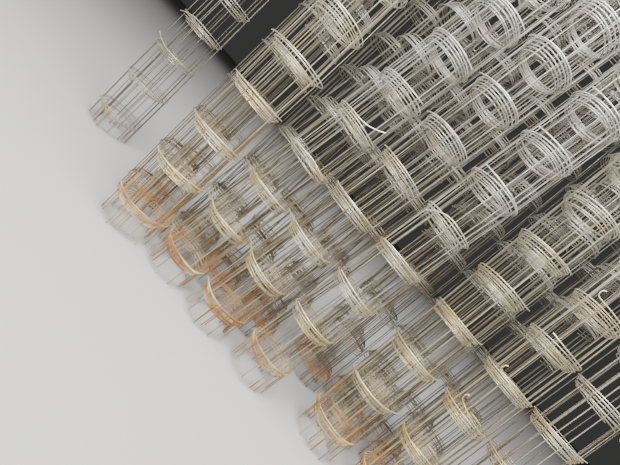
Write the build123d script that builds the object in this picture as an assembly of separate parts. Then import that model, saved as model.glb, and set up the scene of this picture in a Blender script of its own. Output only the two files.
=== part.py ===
"""Welded wire mesh in rolls, stored standing on end in three close rows with one roll set apart.

Each roll is one flat sheet wound up. Its long wires lie round the roll as bundles of
turns, one bundle at each mesh pitch, and its cross wires stand upright between the turns.
X runs along the rows, Y away from the front row and Z up. The floor is Z = 0.
"""
import os
from math import asin, cos, degrees, floor, pi, sin, sqrt

from build123d import *

# The flat sheet before it is wound
sheet_length = 3600.0
sheet_width = 2400.0
mesh_pitch = 200.0
wire_diameter = 4.0
edge_stub = 100.0

# The wound roll: most are tight, but two of them have sprung open a little
tight_diameter = 222.0
loose_diameter = 246.0
lone_diameter = 264.0
bore_diameter = 166.0
turns_on_edge = 6
turn_gap = 3.0
turn_groove = 2.0
bar_cover = 0.8

# The front row from the left: free space between each roll and the next one at the floor, how far
# each roll stands behind the foremost one, and the rolls that lean to the right on the next one
touch = 0.4
front_diameters = (loose_diameter,) + (tight_diameter,) * 6
front_gaps = (touch, 30.0, 34.0, 157.0, 58.0, 37.0)
front_setbacks = (36.0, 55.0, 20.0, 0.0, 49.0, 25.0, 32.0)
front_leaning = (1, 2, 3)

# The two rows behind it, which start this far to the left of the front row, with one roll in each
# that stands further back than the rest of its row
rear_diameters = (tight_diameter,) * 7
rear_gaps = (26.0, 15.0, 31.0, 194.0, 80.0, 44.0)
rear_setbacks = (0.0, 0.0, 0.0, 0.0, 150.0, 0.0, 0.0)
rear_leaning = (1, 2, 3)
rear_offset = 122.0

# The roll that stands alone at the left
lone_offset = 635.0
lone_setback = 652.0

# Each roll is turned by this much more about its own axis than the one before it
turn_between_rolls = 47.0

bore_radius = bore_diameter / 2
bar_radius = wire_diameter / 2
turn_height = wire_diameter + turn_gap
bundle_height = turns_on_edge * turn_height


def crossings(length):
    """The number of wires that cross a wire of this length."""
    return floor((length - 2 * edge_stub) / mesh_pitch) + 1


bundle_heights = [edge_stub + mesh_pitch * ring for ring in range(crossings(sheet_width))]
top_bundle_edge = bundle_heights[-1] + bundle_height / 2


def bundle(diameter):
    """The turns of one long wire as a turned ring, grooved between the turns on its edge."""
    radius = diameter / 2
    outline = [(bore_radius, 0)]
    for turn in range(turns_on_edge):
        foot = turn * turn_height
        outline.append((radius - turn_groove, foot))
        outline.append((radius, foot + turn_gap / 2))
        outline.append((radius, foot + turn_height - turn_gap / 2))
    outline.append((radius - turn_groove, bundle_height))
    outline.append((bore_radius, bundle_height))
    section = make_face(Polyline([(across, 0, height) for across, height in outline], close=True))
    return Pos(0, 0, -bundle_height / 2) * revolve(section, Axis.Z, 360)


def bar_places(diameter):
    """Where the cross wires stand: one at each mesh pitch along the spiral of the wound sheet."""
    outer = diameter / 2 - turn_groove - bar_cover - bar_radius
    inner = bore_radius + bar_cover + bar_radius
    turns = sheet_length / (pi * (outer + inner))
    shrink = (outer - inner) / (2 * pi * turns)
    places = []
    for bar in range(crossings(sheet_length)):
        along = edge_stub + mesh_pitch * bar
        angle = (outer - sqrt(outer**2 - 2 * shrink * along)) / shrink
        radius = outer - shrink * angle
        places.append((radius * cos(angle), radius * sin(angle)))
    return places


def mesh_roll(diameter):
    """One roll as one solid, standing upright with its foot centred on the origin."""
    turned_bundle = bundle(diameter)
    bundles = [Pos(0, 0, height) * turned_bundle for height in bundle_heights]
    bar = Cylinder(bar_radius, sheet_width, align=(Align.CENTER, Align.CENTER, Align.MIN))
    bars = [Pos(x, y, 0) * bar for x, y in bar_places(diameter)]
    return bundles[0].fuse(*bundles[1:], *bars)


def row_places(start, diameters, gaps, setbacks, leaning):
    """Each roll of a row: its foot, its lean, worked out from the right-hand end, and its diameter."""
    centres_apart = [(left + right) / 2 for left, right in zip(diameters, diameters[1:])]
    feet = [start]
    for apart, gap, setback, next_setback in zip(centres_apart, gaps, setbacks, setbacks[1:]):
        feet.append(feet[-1] + sqrt(apart**2 - (next_setback - setback) ** 2) + gap)
    shifts = [0.0] * len(feet)
    leans = [0.0] * len(feet)
    for roll in reversed(leaning):
        wider_side = centres_apart[roll] * (1 / cos(leans[roll + 1]) - 1)
        shifts[roll] = shifts[roll + 1] + gaps[roll] - touch - wider_side
        leans[roll] = asin(shifts[roll] / top_bundle_edge)
    return list(zip(feet, setbacks, leans, diameters))


def stand(roll, place, turn):
    """Set a roll on the floor: turned about its axis, leant to the right, on its lowest wire ends."""
    x, y, lean, diameter = place
    turned = [Vector(*bar, 0).rotate(Axis.Z, turn).X for bar in bar_places(diameter)]
    lift = (max(turned) + bar_radius) * sin(lean)
    return Pos(x, y, lift) * Rot(0, degrees(lean), 0) * Rot(0, 0, turn) * roll


def right_side(place):
    """How far to the right a roll reaches, at the top where it leans."""
    x, _, lean, diameter = place
    return x + top_bundle_edge * sin(lean) + diameter / 2 * cos(lean)


row_spacing = tight_diameter + touch
second_row = max(front_setbacks[roll] for roll in front_leaning) + row_spacing
second_setbacks = [second_row + setback for setback in rear_setbacks]
third_setbacks = [setback + row_spacing for setback in second_setbacks]

places = row_places(0, front_diameters, front_gaps, front_setbacks, front_leaning)
places += row_places(-rear_offset, rear_diameters, rear_gaps, second_setbacks, rear_leaning)
places += row_places(-rear_offset, rear_diameters, rear_gaps, third_setbacks, ())
places.append((-lone_offset, lone_setback, 0.0, lone_diameter))

middle_x = (min(x - diameter / 2 for x, _, _, diameter in places) + max(map(right_side, places))) / 2
front_side = min(y - diameter / 2 for _, y, _, diameter in places)
back_side = max(y + diameter / 2 for _, y, _, diameter in places)
middle_y = (front_side + back_side) / 2

os.makedirs("parts", exist_ok=True)
rolls = {diameter: mesh_roll(diameter) for diameter in (tight_diameter, loose_diameter, lone_diameter)}
for number, (x, y, lean, diameter) in enumerate(places, start=1):
    place = (x - middle_x, y - middle_y, lean, diameter)
    standing = stand(rolls[diameter], place, turn_between_rolls * number)
    export_step(standing, f"parts/mesh_roll_{number:02d}.step", write_pcurves=False)
    print(f"mesh_roll_{number:02d}", [round(value, 1) for value in place[:2]], round(degrees(lean), 2), diameter)
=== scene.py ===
import math
import random

import bpy
from mathutils import Matrix, Vector


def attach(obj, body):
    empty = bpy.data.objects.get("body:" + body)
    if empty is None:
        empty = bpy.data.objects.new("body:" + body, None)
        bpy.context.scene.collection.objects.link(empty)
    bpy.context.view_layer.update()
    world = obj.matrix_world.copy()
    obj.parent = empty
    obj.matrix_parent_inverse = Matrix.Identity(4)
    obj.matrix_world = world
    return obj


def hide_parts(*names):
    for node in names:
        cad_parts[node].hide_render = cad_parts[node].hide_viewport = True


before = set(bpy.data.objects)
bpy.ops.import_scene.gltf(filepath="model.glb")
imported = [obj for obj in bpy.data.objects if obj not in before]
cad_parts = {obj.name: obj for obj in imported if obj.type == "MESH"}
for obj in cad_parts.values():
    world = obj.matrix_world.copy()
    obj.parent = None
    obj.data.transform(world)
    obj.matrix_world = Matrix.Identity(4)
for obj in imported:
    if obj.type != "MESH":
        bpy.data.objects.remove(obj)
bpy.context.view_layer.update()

# The front row of rolls. Each is one flat sheet of welded mesh, drawn steel wire, wound up by hand
# and stood on end: twelve long wires run round it as bundles of turns, and straight cross wires
# stand inside them, spot-welded to every turn that they meet. All ends are cut off square.
sheet_length = 3.6
sheet_width = 2.4
mesh_pitch = 0.2
edge_stub = 0.1
wire_radius = 0.002
weld_sink = 0.0007
bore_radius = 0.083
ring_count = 12
bar_count = 18
points_a_turn = 32
long_finish, cross_finish = 0, 1
# How much of the painted shade comes from a wire's side facing into the roll, and how much from
# lying deep in its wall.
shade_facing_share, shade_depth_share = 0.8, 0.2

# Winding by hand shifts each turn along the roll, by more on the side where the turns fan out, and
# leaves the turns wavy, unevenly wide and a little out of round.
wall_fullness = (1.0, 1.35)
turn_shift = (0.0074, 0.0092)
turn_fan = 0.06
ring_lift = 0.007
ring_tilt = 0.0045
ring_size = 0.012
out_of_round = 0.0025
turn_wobble = 0.0012
turn_wave = 0.0013
turn_sway = 0.0022
bar_slip = 0.006
roll_twist = math.radians(7)
bow = 0.004
end_run = 0.03
foot_cut = 0.02
end_spring = (0.002, 0.014)
end_rise = 0.009
loose_turns = 0.87

# How fast each of these waves comes round as a wire runs on: its wobble in reach, its wave up and
# down, and the slower sways that let the turns of a bundle cross one another.
wobble_rate = 2.3
wave_rate = 0.83
sway_rates = (0.31, 0.23, 0.37)


def ring_middle(node, height):
    """Where the axis of a packed roll passes this height, and the roll's radius there."""
    half_zone = 0.03
    near = [v.co for v in node.data.vertices if abs(v.co.z - height) < half_zone]
    low_x = min(point.x for point in near)
    high_x = max(point.x for point in near)
    low_y = min(point.y for point in near)
    high_y = max(point.y for point in near)
    return Vector(((low_x + high_x) / 2, (low_y + high_y) / 2, height)), (high_y - low_y) / 2


def add_wire(curve, points, finish):
    """One more wire of a roll, as a line through these points that the curve's bevel makes round.

    finish is its place in the roll's pair of finishes: the long wires' or the cross wires'.
    """
    line = curve.splines.new("POLY")
    line.points.add(len(points) - 1)
    for spot, point in zip(line.points, points):
        spot.co = (*point, 1)
    line.use_smooth = True
    line.material_index = finish


def hook(start, along, outward):
    """The end of a long wire, bent up and back over itself with pliers to keep the roll shut."""
    bend = 0.012
    turned_out = 0.35
    drawn_up = 1.25
    side = (along + outward * turned_out).normalized()
    steps = [math.radians(22 * step) for step in range(1, 9)]
    return [
        start + side * bend * math.sin(a) + Vector((0, 0, bend * drawn_up * (1 - math.cos(a))))
        for a in steps
    ]


def wind_roll(name, finishes, seam, hand, outer_low=False, fan_way=-90, sprung=None, loose=None,
              hooked=()):
    """Winds one sheet round the axis of its packed roll.

    finishes are those of its long wires and of its cross wires. seam is where the sheet's outer
    edge lies, in degrees from +X, and hand the way it runs on from there. outer_low says that the
    outer turns lie low in their bundles. fan_way is the side where the turns fan out. sprung gives
    how far the end of a ring's wire stands out and up, and loose how far a ring's outer turn does.
    hooked lists the rings whose end is bent into a hook.
    """
    sprung = sprung or {}
    loose = loose or {}
    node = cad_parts[name]
    chance = random.Random(name)
    foot, radius = ring_middle(node, edge_stub)
    head, _ = ring_middle(node, sheet_width - edge_stub)
    upright = (head - foot).normalized()
    lean = Vector((0, 0, 1)).rotation_difference(upright).to_matrix()

    outer = radius - wire_radius
    wall = outer - bore_radius - wire_radius
    fullness = chance.uniform(*wall_fullness)
    whole = sheet_length / (outer - wall / (fullness + 1))
    turns = whole / (2 * math.pi)
    shifts = [0.0]
    for turn in range(math.ceil(turns) + 1):
        shifts.append(shifts[-1] + chance.uniform(*turn_shift))
    middle_shift = shifts[round(turns)] / 2
    lifts = [chance.uniform(-ring_lift, ring_lift) for ring in range(ring_count)]
    tilts = [chance.uniform(0.2, 1) * ring_tilt for ring in range(ring_count)]
    sizes = [1 + chance.uniform(-1, 0.6) * ring_size for ring in range(ring_count)]
    phases = [chance.uniform(0, 2 * math.pi) for ring in range(ring_count)]
    fans = [math.radians(chance.gauss(fan_way, 35)) for ring in range(ring_count)]
    springs = [chance.uniform(*end_spring) for ring in range(ring_count)]
    rises = [chance.uniform(-end_rise, end_rise) for ring in range(ring_count)]
    oval_way = chance.uniform(0, math.pi)
    twist = chance.uniform(-1, 1) * roll_twist
    bow_way = chance.uniform(0, 2 * math.pi)
    sway_x = chance.uniform(0, 2 * math.pi)
    sway_y = chance.uniform(0, 2 * math.pi)

    def place(around, ring, inward=0.0):
        """A point of the sheet on this ring's long wire, this far round from the outer edge."""
        turn = around / (2 * math.pi)
        level = ring / (ring_count - 1)
        angle = math.radians(seam) + hand * (around + twist * (level - 0.5))
        reach = (outer - wall * (max(0, around) / whole) ** fullness) * sizes[ring] - inward
        reach += out_of_round * math.cos(2 * (angle - oval_way))
        reach += turn_wobble * math.sin(wobble_rate * around + phases[ring])
        last, following = shifts[math.floor(turn)], shifts[math.floor(turn) + 1]
        shift = last + (turn % 1) * (following - last)
        height = edge_stub + mesh_pitch * ring + lifts[ring]
        fanned = 1 + turn_fan * math.cos(angle - fans[ring])
        height += (shift - middle_shift) * fanned * (1 if outer_low else -1)
        height += tilts[ring] * math.cos(angle - phases[ring])
        height += turn_wave * math.sin(wave_rate * around + 2 * phases[ring])
        height += turn_sway * math.sin(sway_rates[0] * around + sway_x) * math.cos(angle)
        height += turn_sway * math.sin(sway_rates[1] * around + sway_y) * math.sin(angle)
        own_sway = math.sin(sway_rates[2] * around + phases[ring])
        height += turn_sway * own_sway * math.cos(angle - 2 * phases[ring])
        if ring in loose and turn < loose_turns:
            out, up = loose[ring]
            share = math.sin(math.pi * turn / loose_turns) ** 2
            reach += out * share
            height += up * share
        swing = bow * math.sin(math.pi * level)
        return Vector((
            reach * math.cos(angle) + swing * math.cos(bow_way),
            reach * math.sin(angle) + swing * math.sin(bow_way),
            height,
        ))

    def length_to(around):
        """How much sheet is wound up between its outer edge and this angle."""
        return outer * around - wall * whole / (fullness + 1) * (around / whole) ** (fullness + 1)

    def round_to(along):
        """The angle at which this length of sheet is wound up."""
        around = along / outer
        for _ in range(6):
            around += (along - length_to(around)) / outer
        return around

    curve = bpy.data.curves.new(name, "CURVE")
    curve.dimensions = "3D"
    curve.bevel_depth = wire_radius
    curve.bevel_resolution = 1
    curve.use_fill_caps = True
    for finish in finishes:
        curve.materials.append(finish)

    steps = math.ceil(turns * points_a_turn)
    free_end = round_to(edge_stub)
    for ring in range(ring_count):
        spring, rise = sprung.get(ring, (springs[ring], rises[ring]))
        points = []
        for step in range(steps + 1):
            around = whole * step / steps
            point = place(around, ring)
            if around < free_end:
                share = (1 - around / free_end) ** 2
                outward = Vector((point.x, point.y, 0)).normalized()
                point += outward * spring * share + Vector((0, 0, rise * share))
            points.append(point)
        if ring in hooked:
            tangent = (points[0] - points[1]).normalized()
            outward = Vector((points[0].x, points[0].y, 0)).normalized()
            points = list(reversed(hook(points[0], tangent, outward))) + points
        add_wire(curve, points, long_finish)

    for bar in range(bar_count):
        around = round_to(edge_stub + mesh_pitch * bar)
        slips = [chance.uniform(-1, 1) * bar_slip for ring in range(ring_count)]
        inside = 2 * wire_radius - weld_sink
        points = [place(around + slips[ring], ring, inside) for ring in range(ring_count)]
        first = points[0] + (points[0] - points[1]).normalized() * end_run
        last = points[-1] + (points[-1] - points[-2]).normalized() * end_run
        bottom = Vector((first.x, first.y, chance.uniform(0, 1) ** 2 * foot_cut))
        top = Vector((last.x, last.y, sheet_width - chance.uniform(0, 1) ** 2 * foot_cut))
        add_wire(curve, [bottom, *points, top], cross_finish)

    wires = bpy.data.objects.new("wound_" + name, curve)
    bpy.context.scene.collection.objects.link(wires)
    bpy.ops.object.select_all(action="DESELECT")
    bpy.context.view_layer.objects.active = wires
    wires.select_set(True)
    bpy.ops.object.convert(target="MESH")
    wires = bpy.context.view_layer.objects.active
    bpy.ops.object.mode_set(mode="EDIT")
    bpy.ops.mesh.select_all(action="SELECT")
    bpy.ops.mesh.remove_doubles(threshold=0.00002)
    bpy.ops.object.mode_set(mode="OBJECT")
    bpy.ops.object.shade_smooth_by_angle(angle=math.radians(75))

    # Painted shade: the sides of the wires that face into the roll, and the turns deep in its wall,
    # are marked, and the finish is painted darker there as if they lay in shade.
    painted_shade = wires.data.attributes.new("painted_shade", "FLOAT", "POINT")
    for vertex, mark in zip(wires.data.vertices, painted_shade.data):
        across = math.hypot(vertex.co.x, vertex.co.y)
        inward = -(vertex.normal.x * vertex.co.x + vertex.normal.y * vertex.co.y) / across
        mark.value = shade_facing_share * (1 + inward) / 2 + shade_depth_share * (outer - across) / wall

    origin = foot - upright * (edge_stub / upright.z)
    wires.data.transform(Matrix.Translation(origin) @ lean.to_4x4())
    lowest = min(vertex.co.z for vertex in wires.data.vertices)
    wires.data.transform(Matrix.Translation((0, 0, -lowest)))
    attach(wires, "root")
    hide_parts(name)


def weathering_and_shade_group():
    """Wire weathered by height and in patches, and painted darker as shade inside the roll: colour,
    roughness, metal share and surface height.
    """
    group = bpy.data.node_groups.new("weathered_and_shaded_wire", "ShaderNodeTree")
    for label, kind in (("Dry", "NodeSocketColor"), ("Tan", "NodeSocketColor"),
                        ("Rust", "NodeSocketColor"), ("Rust height", "NodeSocketFloat"),
                        ("Rust share", "NodeSocketFloat"), ("Dark share", "NodeSocketFloat")):
        group.interface.new_socket(name=label, in_out="INPUT", socket_type=kind)
    for label, kind in (("Color", "NodeSocketColor"), ("Roughness", "NodeSocketFloat"),
                        ("Metallic", "NodeSocketFloat"), ("Height", "NodeSocketFloat")):
        group.interface.new_socket(name=label, in_out="OUTPUT", socket_type=kind)
    nodes, links = group.nodes, group.links
    given = nodes.new("NodeGroupInput")
    result = nodes.new("NodeGroupOutput")
    where = nodes.new("ShaderNodeTexCoord")
    dark_streak = (0.12, 0.105, 0.075, 1)
    dark_fleck = (0.10, 0.075, 0.045, 1)
    pale_fleck = (0.55, 0.54, 0.50, 1)
    deep_rust = (0.24, 0.11, 0.035, 1)
    inner_shade = (0.15, 0.12, 0.08, 1)
    # The painted shade mark made when the roll was wound.
    painted_shade = nodes.new("ShaderNodeAttribute")
    painted_shade.attribute_name = "painted_shade"

    def noise(scale, detail, stretch=(1, 1, 1)):
        drawn_out = nodes.new("ShaderNodeVectorMath")
        drawn_out.operation = "MULTIPLY"
        drawn_out.inputs[1].default_value = stretch
        texture = nodes.new("ShaderNodeTexNoise")
        texture.inputs["Scale"].default_value = scale
        texture.inputs["Detail"].default_value = detail
        links.new(where.outputs["Object"], drawn_out.inputs[0])
        links.new(drawn_out.outputs["Vector"], texture.inputs["Vector"])
        return texture.outputs["Fac"]

    def joined(operation, first, second):
        node = nodes.new("ShaderNodeMath")
        node.operation = operation
        for socket, value in zip(node.inputs, (first, second)):
            if isinstance(value, (int, float)):
                socket.default_value = value
            else:
                links.new(value, socket)
        return node.outputs[0]

    def spread(value, low, high, to_low=0.0, to_high=1.0):
        node = nodes.new("ShaderNodeMapRange")
        ends = (("From Min", low), ("From Max", high), ("To Min", to_low), ("To Max", to_high))
        for label, number in ends:
            if isinstance(number, (int, float)):
                node.inputs[label].default_value = number
            else:
                links.new(number, node.inputs[label])
        links.new(value, node.inputs["Value"])
        return node.outputs["Result"]

    def mix(share, first, second):
        node = nodes.new("ShaderNodeMix")
        node.data_type = "RGBA"
        for label, value in (("Factor", share), ("A", first), ("B", second)):
            socket = node.inputs[label]
            if isinstance(value, tuple):
                socket.default_value = value
            else:
                links.new(value, socket)
        return node.outputs["Result"]

    split = nodes.new("ShaderNodeSeparateXYZ")
    links.new(where.outputs["Object"], split.inputs[0])
    height = split.outputs["Z"]
    patches = noise(scale=9, detail=3)
    flecks = noise(scale=70, detail=4)
    specks = noise(scale=420, detail=3)
    streaks = noise(scale=45, detail=2, stretch=(1, 1, 0.03))
    near_floor = spread(height, given.outputs["Rust height"], 0.0)
    rusty = joined("ADD", near_floor, joined("MULTIPLY", given.outputs["Rust share"], patches))
    rusty = spread(joined("ADD", rusty, joined("MULTIPLY", flecks, 0.6)), 0.75, 1.15)
    tanned = joined("ADD", joined("MULTIPLY", patches, 1.1), spread(height, 0.1, 1.6, 0.35, -0.35))
    colour = mix(spread(tanned, 0.4, 0.85), given.outputs["Dry"], given.outputs["Tan"])
    colour = mix(spread(streaks, 0.42, 0.6, 0, given.outputs["Dark share"]), colour, dark_streak)
    colour = mix(spread(flecks, 0.56, 0.72, 0, 0.6), colour, dark_fleck)
    # Painted shade: how far the inner_shade colour covers the wire where it faces into the roll or
    # lies deep in its wall.
    painted_shade_share = spread(painted_shade.outputs["Fac"], 0.3, 0.75, 0, 0.6)
    colour = mix(spread(flecks, 0.3, 0.4, 0.35, 0), colour, pale_fleck)
    ochre = mix(spread(patches, 0.36, 0.56), given.outputs["Tan"], given.outputs["Rust"])
    colour = mix(rusty, colour, mix(spread(specks, 0.5, 0.68), ochre, deep_rust))
    # The painted shade goes on last, over the colour and the rust.
    colour = mix(painted_shade_share, colour, inner_shade)
    links.new(colour, result.inputs["Color"])
    roughness = spread(joined("ADD", rusty, specks), 0.3, 1.6, 0.42, 0.88)
    links.new(roughness, result.inputs["Roughness"])
    links.new(spread(rusty, 0, 1, 0.7, 0.03), result.inputs["Metallic"])
    links.new(joined("ADD", joined("MULTIPLY", specks, rusty), joined("MULTIPLY", flecks, 0.4)),
              result.inputs["Height"])
    return group


weathering_and_shade = weathering_and_shade_group()


def wire_finish(name, dry, tan, rust, rust_height, rust_share, dark_share):
    """One tone of weathered wire, with painted shade inside the roll.

    dry, tan and rust are its colours, rust_height is how far up from the floor it has rusted all
    over, and rust_share and dark_share are how much of the rest has gone rusty or dull.
    """
    material = bpy.data.materials.new(name)
    material.use_nodes = True
    nodes, links = material.node_tree.nodes, material.node_tree.links
    shader = nodes["Principled BSDF"]
    wear_and_shade = nodes.new("ShaderNodeGroup")
    wear_and_shade.node_tree = weathering_and_shade
    wear_and_shade.inputs["Dry"].default_value = (*dry, 1)
    wear_and_shade.inputs["Tan"].default_value = (*tan, 1)
    wear_and_shade.inputs["Rust"].default_value = (*rust, 1)
    wear_and_shade.inputs["Rust height"].default_value = rust_height
    wear_and_shade.inputs["Rust share"].default_value = rust_share
    wear_and_shade.inputs["Dark share"].default_value = dark_share
    bump = nodes.new("ShaderNodeBump")
    bump.inputs["Strength"].default_value = 0.35
    bump.inputs["Distance"].default_value = 0.0004
    links.new(wear_and_shade.outputs["Color"], shader.inputs["Base Color"])
    links.new(wear_and_shade.outputs["Roughness"], shader.inputs["Roughness"])
    links.new(wear_and_shade.outputs["Metallic"], shader.inputs["Metallic"])
    links.new(wear_and_shade.outputs["Height"], bump.inputs["Height"])
    links.new(bump.outputs["Normal"], shader.inputs["Normal"])
    return material


# Painted light and shade: the long wires get a lighter copy of the finish, as if lit along their
# tops, and the cross wires a darker copy with more dark streaks, as if in shade.
grey_wires = (
    wire_finish("grey_long_wire_painted_light", (0.80, 0.80, 0.73), (0.74, 0.58, 0.27), (0.40, 0.17, 0.015),
                rust_height=0.26, rust_share=0.6, dark_share=0.2),
    wire_finish("grey_cross_wire_painted_shade", (0.54, 0.54, 0.49), (0.50, 0.41, 0.22), (0.38, 0.155, 0.015),
                rust_height=0.28, rust_share=0.6, dark_share=0.7),
)
tan_wires = (
    wire_finish("tan_long_wire_painted_light", (0.80, 0.77, 0.60), (0.78, 0.59, 0.24), (0.42, 0.185, 0.018),
                rust_height=0.3, rust_share=0.75, dark_share=0.2),
    wire_finish("tan_cross_wire_painted_shade", (0.54, 0.51, 0.41), (0.54, 0.43, 0.21), (0.40, 0.17, 0.018),
                rust_height=0.32, rust_share=0.75, dark_share=0.7),
)

front_row = {
    "mesh_roll_01": dict(seam=190, hand=1, sprung={4: (0.02, 0.0)}, loose={4: (0.012, -0.004)}),
    "mesh_roll_02": dict(seam=318, hand=-1, sprung={4: (0.012, 0.045), 3: (0.01, -0.02)},
                         loose={3: (0.006, -0.018)}),
    "mesh_roll_03": dict(seam=186, hand=1, sprung={1: (0.022, 0.008), 2: (0.026, -0.004)}),
    "mesh_roll_04": dict(seam=214, hand=1, sprung={4: (0.006, -0.045)}, loose={5: (0.004, -0.01)}),
    "mesh_roll_05": dict(seam=350, hand=-1, sprung={1: (0.02, 0.0), 4: (0.018, 0.01)},
                         loose={1: (0.012, -0.006)}),
    "mesh_roll_06": dict(seam=226, hand=1, sprung={2: (0.012, 0.02)}, hooked=(2, 3, 5)),
    "mesh_roll_07": dict(seam=310, hand=-1, sprung={4: (0.01, -0.06)}),
}
tan_rolls = ("mesh_roll_01", "mesh_roll_05", "mesh_roll_06")
for name, winding in front_row.items():
    wind_roll(name, tan_wires if name in tan_rolls else grey_wires, **winding)

# The roll that stands alone behind the left end of the row: the same mesh, wound looser, with its
# cross wires painted darker than its long wires as painted shade.
lone_wires = (
    wire_finish("lone_long_wire_painted_light", (0.54, 0.53, 0.46), (0.50, 0.43, 0.29), (0.38, 0.20, 0.06),
                rust_height=0.10, rust_share=0.4, dark_share=0.3),
    wire_finish("lone_cross_wire_painted_shade", (0.28, 0.29, 0.25), (0.28, 0.25, 0.16), (0.32, 0.17, 0.05),
                rust_height=0.10, rust_share=0.4, dark_share=0.6),
)
wind_roll("mesh_roll_22", lone_wires, 235, 1, sprung={2: (0.02, 0.03), 3: (0.02, -0.03)})

# The two rows behind: the same rolls, each turned as it happened to be set down. Their finishes are
# painted darker than the front row's, as painted shade behind it, and most are browner in tone.
# Their cross wires are darker again, as painted shade.
shaded_dull_wires = (
    wire_finish("dull_long_wire_painted_shade", (0.50, 0.50, 0.45), (0.46, 0.40, 0.27), (0.36, 0.18, 0.05),
                rust_height=0.15, rust_share=0.6, dark_share=0.3),
    wire_finish("dull_cross_wire_painted_shade", (0.30, 0.31, 0.27), (0.30, 0.27, 0.18), (0.30, 0.16, 0.05),
                rust_height=0.15, rust_share=0.6, dark_share=0.7),
)
shaded_brown_wires = (
    wire_finish("brown_long_wire_painted_shade", (0.30, 0.29, 0.25), (0.29, 0.23, 0.14), (0.30, 0.13, 0.04),
                rust_height=0.2, rust_share=0.7, dark_share=0.4),
    wire_finish("brown_cross_wire_painted_shade", (0.22, 0.21, 0.18), (0.23, 0.18, 0.11), (0.24, 0.11, 0.035),
                rust_height=0.2, rust_share=0.7, dark_share=0.6),
)
for number in range(8, 22):
    chance = random.Random(number)
    seam, hand = chance.uniform(0, 360), chance.choice((-1, 1))
    outer_low, fan_way = chance.random() < 0.8, chance.uniform(0, 360)
    finishes = shaded_brown_wires if chance.random() < 0.6 else shaded_dull_wires
    wind_roll(f"mesh_roll_{number:02d}", finishes, seam, hand, outer_low, fan_way)

# The floor: a plain pale studio sheet.
bpy.ops.object.select_all(action="DESELECT")
bpy.ops.mesh.primitive_plane_add(size=160, location=(0, 0, -0.001))
floor = bpy.context.active_object
floor.name = "floor"
floor_material = bpy.data.materials.new("pale_floor")
floor_material.use_nodes = True
floor_shader = floor_material.node_tree.nodes["Principled BSDF"]
floor_shader.inputs["Base Color"].default_value = (0.34, 0.335, 0.325, 1)
floor_shader.inputs["Roughness"].default_value = 0.95
floor_shader.inputs["Specular IOR Level"].default_value = 0.1
floor.data.materials.append(floor_material)

# Plain soft light: a soft box beside the camera, one overhead, and a wide dim ceiling that carries
# the light on over the floor behind.
world = bpy.data.worlds.new("studio")
world.use_nodes = True
world.node_tree.nodes["Background"].inputs["Color"].default_value = (0.80, 0.80, 0.79, 1)
world.node_tree.nodes["Background"].inputs["Strength"].default_value = 0.05
bpy.context.scene.world = world


def soft_lamp(name, place, aim, size, power):
    """A square soft box that faces its aim."""
    lamp = bpy.data.lights.new(name, "AREA")
    lamp.shape = "SQUARE"
    lamp.size = size
    lamp.energy = power
    holder = bpy.data.objects.new(name, lamp)
    holder.location = place
    holder.rotation_euler = (Vector(aim) - Vector(place)).to_track_quat("-Z", "Y").to_euler()
    bpy.context.scene.collection.objects.link(holder)


soft_lamp("front_lamp", place=(-1.9, -3.6, 1.9), aim=(0.0, 0.0, 0.8), size=1.5, power=125)
soft_lamp("overhead_lamp", place=(-0.1, -1.4, 4.2), aim=(-0.1, 0.0, 0.3), size=2.4, power=760)
soft_lamp("ceiling_lamp", place=(0.0, 3.0, 9.0), aim=(0.0, 3.0, 0.0), size=26.0, power=2000)

# The camera: held low in front of the row and turned half over, so that the rolls lie slantwise
# across the picture.
photo_width = 620
focal_pixels = 446.2
camera_data = bpy.data.cameras.new("camera")
camera_data.sensor_width = 36
camera_data.lens = camera_data.sensor_width * focal_pixels / photo_width
camera = bpy.data.objects.new("camera", camera_data)
turned_left = Matrix.Rotation(math.radians(0.56), 3, "Z")
tipped_down = Matrix.Rotation(math.radians(90 - 7.76), 3, "X")
rolled_over = Matrix.Rotation(math.radians(50 - 1.39), 3, "Z")
view = turned_left @ tipped_down @ rolled_over
camera_place = (0.0227, -1.9555, 0.753)
camera.matrix_world = Matrix.Translation(camera_place) @ view.to_4x4()
bpy.context.scene.collection.objects.link(camera)
bpy.context.scene.camera = camera
